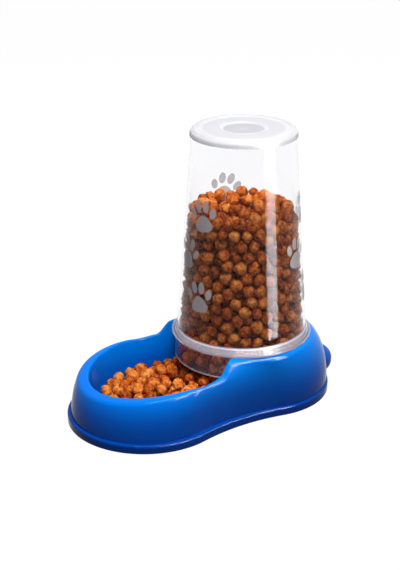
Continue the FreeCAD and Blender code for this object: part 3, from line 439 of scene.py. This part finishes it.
def model_kibble(index, proportions):
    bpy.ops.mesh.primitive_uv_sphere_add(segments=9, ring_count=6, radius=1.0, location=(0, 0, 0))
    kibble = bpy.context.object
    kibble.name = "kibble_pattern_%d" % index
    bpy.ops.object.mode_set(mode="EDIT")
    bpy.ops.mesh.select_all(action="SELECT")
    bpy.ops.transform.resize(value=proportions)
    bpy.ops.transform.vertex_random(offset=LUMPINESS, uniform=0.7, normal=0.4, seed=index + 1)
    bpy.ops.object.mode_set(mode="OBJECT")
    bpy.ops.object.shade_smooth()
    return kibble


kibble_patterns = [model_kibble(i, shape) for i, shape in enumerate(KIBBLE_SHAPES)]
print("faces in one kibble:", len(kibble_patterns[0].data.polygons))

# %% [markdown]
# How do several hundred kibbles fill a container? A rigid-body simulation could drop them in, but it is slow
# and rarely ends the same way twice. Here each kibble starts at a random place inside. Then all of them push
# their neighbours away and are pushed back in by the walls, again and again, until nearly nothing overlaps.
# First the two food solids of the CAD model are measured: their volume says how many kibbles they hold.

# %% Measure the food
def search_tree(node_name):
    """A tree that finds the nearest points on a CAD node, and the node's volume."""
    shape = bmesh.new()
    shape.from_mesh(nodes[node_name].data)
    bmesh.ops.remove_doubles(shape, verts=shape.verts, dist=1e-6)
    search, volume = BVHTree.FromBMesh(shape), shape.calc_volume()
    shape.free()
    return search, volume


for name in ("kibble_in_hopper", "kibble_in_bowl"):
    print(name, "has", round(search_tree(name)[1] * 1e6), "cubic centimetres")

# %% [markdown]
# Inside, the hopper is widest in its neck and narrows towards its mouth. It could be taken for a plain cone,
# but then kibbles would cut the shoulder. So its inside is measured on the CAD mesh, by looking outwards
# from the axis at many heights. On top the kibbles follow a low dome, and stand proud of it by a part of
# their size, as real ones do.

# %% Keep kibbles inside the hopper
WALL_PLAY = 0.4 * MM
DOME_DROP = 5 * MM
MEASURED_HEIGHTS = 60
OUTWARDS = Vector((1, 0, 0))
hopper_search = search_tree("hopper")[0]
food_low, food_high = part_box("kibble_in_hopper")


def hopper_walls():
    """Rule that keeps kibbles inside the hopper, from its floor to the level of the food."""
    heights = np.linspace(food_low.z + MM, food_high.z + 10 * MM, MEASURED_HEIGHTS)
    radii_inside = [hopper_search.ray_cast(hopper_axis + Vector((0, 0, z)), OUTWARDS)[3] for z in heights]
    axis = np.array(hopper_axis.xy)

    def keep_inside(places, radii, proud):
        beside = places[:, :2] - axis
        reach = np.linalg.norm(beside, axis=1)
        limit = np.interp(places[:, 2], heights, radii_inside) - WALL_PLAY - radii
        places[:, :2] = axis + beside * np.minimum(1, limit / np.maximum(reach, 1e-6))[:, None]
        level = food_high.z - DOME_DROP * (reach / limit) ** 2
        places[:, 2] = np.clip(places[:, 2], food_low.z + radii, level + radii * (proud - 1))
    return keep_inside, food_low, food_high


print("the food in the hopper reaches from", round(food_low.z / MM), "to", round(food_high.z / MM), "mm")

# %% [markdown]
# The heap in the bowl has a free shape, so a kibble is held by the nearest point of the CAD solid. On its
# upper side the kibbles stand proud, but less than in the hopper. Those in front of the neck stay lower than
# its end, because the end of the clear neck shows above the food in the photograph.

# %% Keep kibbles inside the heap in the bowl
NECK_SHOWS = 4 * MM
UPWARD = 0.3
neck_inside = hopper_search.ray_cast(hopper_axis + Vector((0, 0, hopper_low.z + MM)), OUTWARDS)[3]


def bowl_walls():
    """Rule that keeps kibbles inside the CAD solid of the heap in the bowl, but lets them stand proud."""
    search, _ = search_tree("kibble_in_bowl")
    low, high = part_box("kibble_in_bowl")
    roof = high.z - 2 * MM
    axis = np.array(hopper_axis.xy)

    def keep_inside(places, radii, proud):
        for i, place in enumerate(places):
            point = Vector(place)
            near, normal, _, distance = search.find_nearest(point)
            depth = distance if (near - point).dot(normal) > 0 else -distance
            free = normal.z > UPWARD and near.z < roof
            needed = radii[i] * (1 - proud[i]) if free else radii[i]
            if depth < needed:
                places[i] = point - normal * (needed - depth)
        in_front = np.linalg.norm(places[:, :2] - axis, axis=1) > neck_inside
        places[in_front, 2] = np.minimum(places[in_front, 2], hopper_low.z - NECK_SHOWS - radii[in_front])
    return keep_inside, low, high


print("the neck is", round(2 * neck_inside / MM, 1), "mm wide inside")

# %% [markdown]
# Kibbles poured loosely fill a little over half of the space. That share gives their number. Two kibbles
# that overlap each move apart by a part of the overlap in every round. A larger part would be quicker, but
# the heap would start to shake. All draws come from seeded generators, so each run gives the same heap.

# %% Let the kibbles find their places
PACKED_SHARE = 0.56
FIRST_ROUNDS = 4
ROUNDS = 130
PUSH = 0.35
HOPPER_SEED = 11
BOWL_SEED = 23


def settle_kibbles(node_name, walls, proudest, seed):
    """Centres and radii of kibbles that fill a container."""
    chance = np.random.default_rng(seed)
    keep_inside, low, high = walls()
    _, volume = search_tree(node_name)
    count = int(PACKED_SHARE * volume / (4 / 3 * math.pi * KIBBLE_RADIUS ** 3))
    radii = KIBBLE_RADIUS * chance.uniform(0.9, 1.08, count)
    proud = chance.uniform(0.0, proudest, count)
    places = chance.uniform(low, high, (count, 3))
    for _ in range(FIRST_ROUNDS):
        keep_inside(places, radii, proud)
    wanted = radii[:, None] + radii[None, :]
    for _ in range(ROUNDS):
        apart = places[:, None, :] - places[None, :, :]
        distance = np.sqrt((apart ** 2).sum(-1)) + 1e-9
        overlap = np.clip(wanted - distance, 0, None)
        np.fill_diagonal(overlap, 0)
        places += PUSH * (apart / distance[..., None] * overlap[..., None]).sum(1)
        keep_inside(places, radii, proud)
    return places, radii


settled_in_hopper = settle_kibbles("kibble_in_hopper", hopper_walls, 0.9, HOPPER_SEED)
settled_in_bowl = settle_kibbles("kibble_in_bowl", bowl_walls, 0.5, BOWL_SEED)
print("places:", len(settled_in_hopper[0]), "in the hopper and", len(settled_in_bowl[0]), "in the bowl")

# %% [markdown]
# Every place then gets a copy of one of the three shapes, turned at random and with its own tone. Instances
# would be lighter, but each kibble needs a mesh of its own to carry its tone. The copies of one container
# are joined into one piece, which replaces the plain CAD solid.

# %% Fill the hopper and the bowl
def pour_kibbles(settled, node_name, piece_name, body, seed):
    chance = np.random.default_rng(seed)
    bpy.ops.object.select_all(action="DESELECT")
    for place, radius in zip(*settled):
        pattern = kibble_patterns[int(chance.integers(len(kibble_patterns)))]
        turn = Euler(chance.uniform(0, 2 * math.pi, 3)).to_matrix().to_4x4()
        mesh = pattern.data.copy()
        mesh.transform(Matrix.Translation(place) @ turn @ Matrix.Scale(radius, 4))
        tone = mesh.attributes.new("tone", "FLOAT", "POINT")
        tone.data.foreach_set("value", [float(chance.uniform(0.8, 1.15))] * len(mesh.vertices))
        kibble = bpy.data.objects.new(piece_name, mesh)
        bpy.context.scene.collection.objects.link(kibble)
        kibble.select_set(True)
    bpy.context.view_layer.objects.active = kibble
    bpy.ops.object.join()
    piece = bpy.context.object
    piece.name = piece_name
    piece.data.materials.append(dough)
    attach(piece, body)
    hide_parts(node_name)
    print(piece_name, "has", len(settled[0]), "kibbles and", len(piece.data.polygons), "faces")


pour_kibbles(settled_in_hopper, "kibble_in_hopper", "kibbles_in_hopper", "hopper", HOPPER_SEED)
pour_kibbles(settled_in_bowl, "kibble_in_bowl", "kibbles_in_bowl", "base", BOWL_SEED)
for pattern in kibble_patterns:
    bpy.data.objects.remove(pattern)

# %% [markdown]
# The hopper carries a frosted print: trails of paw prints that climb its wall. Such ink is pale and matt,
# and lets through a good half of what is behind it. The film is far too thin to need real scattering, so a
# rough surface that is partly see-through stands for it, with a fine speckle in its grey.

# %% Frosted ink
def frosted_ink():
    material, tree = new_material("frosted ink")
    where = add_node(tree, "ShaderNodeTexCoord").outputs["Object"]
    frost = add_node(tree, "ShaderNodeTexNoise", {"Vector": where, "Scale": 1 / (0.6 * MM), "Detail": 2.0})
    colour = add_node(tree, "ShaderNodeMix", {"Factor": frost.outputs["Fac"], "A": linear("#CCCCD2"),
                                              "B": linear("#DEDEE4")}, data_type="RGBA")
    ink = add_node(tree, "ShaderNodeBsdfPrincipled", {"Base Color": colour.outputs["Result"],
                                                      "Roughness": 0.6, "Alpha": 0.42})
    add_node(tree, "ShaderNodeOutputMaterial", {"Surface": ink.outputs[0]})
    return material


ink_finish = frosted_ink()
print("ink is ready")

# %% [markdown]
# One paw is modelled flat, in millimetres. Each pad starts as a square grid, which a formula bends into a
# disc, and the large one gets three soft lobes. A filled circle would look the same while flat, but it has
# no points inside that could follow the round wall later.

# %% Model one paw
# Each pad: across, along, half width, half length, in millimetres, and its turn in degrees
PAW_PADS = ((0, -6.0, 11.5, 9.2, 0), (-14.2, 6.0, 4.0, 6.2, 24), (-5.4, 13.5, 4.3, 6.8, 7),
            (5.4, 13.5, 4.3, 6.8, -7), (14.2, 6.0, 4.0, 6.2, -24))
LOBE_HEIGHT = 0.1


def model_pad(across, along, half_width, half_length, turn):
    bpy.ops.mesh.primitive_grid_add(x_subdivisions=7, y_subdivisions=7, size=2, location=(0, 0, 0))
    pad = bpy.context.object
    lobes = LOBE_HEIGHT if turn == 0 else 0.0
    for vertex in pad.data.vertices:
        u, v, _ = vertex.co
        x, y = u * math.sqrt(1 - v * v / 2), v * math.sqrt(1 - u * u / 2)
        reach = 1 + lobes * math.sin(3 * math.atan2(y, x) + math.pi) * math.hypot(x, y)
        vertex.co = (x * reach * half_width, y * reach * half_length, 0)
    pad.data.transform(Matrix.Translation((across, along, 0)) @ Matrix.Rotation(math.radians(turn), 4, "Z"))
    return pad


def model_paw():
    bpy.ops.object.select_all(action="DESELECT")
    pads = [model_pad(*pad) for pad in PAW_PADS]
    for pad in pads:
        pad.select_set(True)
    bpy.context.view_layer.objects.active = pads[0]
    bpy.ops.object.join()
    return bpy.context.object


paw = model_paw()
print("one paw has", len(paw.data.polygons), "faces")

# %% [markdown]
# Every copy of the paw is wrapped round the hopper by its bearing and height. A Shrinkwrap modifier could
# lay it on the wall, but it would squeeze the toes at the sides. The wall is a cone, so two measured radii
# are enough to work out where each point goes. The joined copies get the film's thickness at the end.

# %% Wrap the paws round the hopper
FILM_GAP = 0.05 * MM
FILM_THICKNESS = 0.12 * MM
WALL_FOOT = hopper_low.z + 40 * MM
WALL_TOP = hopper_high.z - 10 * MM
FAR_OUT = 0.2
# Bearings and turns are in degrees
TRAIL_BEARINGS = (-52, 72, 190)
TRAIL_START = 135 * MM
STEP_HEIGHT = 46 * MM
STEP_TURN = 10
STEPS = 3


def wall_radius(z):
    """Outer radius of the hopper at a height."""
    far = hopper_axis + Vector((FAR_OUT, 0, z))
    return FAR_OUT - hopper_search.ray_cast(far, -OUTWARDS)[3]


radius_at_foot = wall_radius(WALL_FOOT)
radius_at_top = wall_radius(WALL_TOP)


def wrap_paw(mesh, bearing, height):
    """Wrap a flat paw round the hopper's cone, its middle at a bearing from the camera's side."""
    for vertex in mesh.vertices:
        across, along, _ = vertex.co * MM
        z = height + along
        share = (z - WALL_FOOT) / (WALL_TOP - WALL_FOOT)
        radius = radius_at_foot + (radius_at_top - radius_at_foot) * share + FILM_GAP
        angle = CAMERA_BEARING + bearing + across / radius
        vertex.co = hopper_axis + Vector((math.sin(angle) * radius, -math.cos(angle) * radius, z))


def print_paws():
    prints = []
    for trail in TRAIL_BEARINGS:
        for step in range(STEPS):
            side = STEP_TURN * (-1) ** step
            mesh = paw.data.copy()
            mesh.transform(Matrix.Rotation(math.radians(side), 4, "Z"))
            wrap_paw(mesh, math.radians(trail + side), TRAIL_START + step * STEP_HEIGHT)
            print_copy = bpy.data.objects.new("frosted_paw_prints", mesh)
            bpy.context.scene.collection.objects.link(print_copy)
            prints.append(print_copy)
    bpy.data.objects.remove(paw)
    bpy.ops.object.select_all(action="DESELECT")
    for print_copy in prints:
        print_copy.select_set(True)
    bpy.context.view_layer.objects.active = prints[0]
    bpy.ops.object.join()
    film = bpy.context.object
    film.name = "frosted_paw_prints"
    thicken = film.modifiers.new("thickness", "SOLIDIFY")
    thicken.thickness = FILM_THICKNESS
    thicken.offset = 1.0
    bpy.ops.object.modifier_apply(modifier=thicken.name)
    bpy.ops.object.shade_smooth_by_angle(angle=math.radians(40))
    film.data.materials.append(ink_finish)
    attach(film, "hopper")
    return film


paw_prints = print_paws()
print("paw prints have", len(paw_prints.data.polygons), "faces")
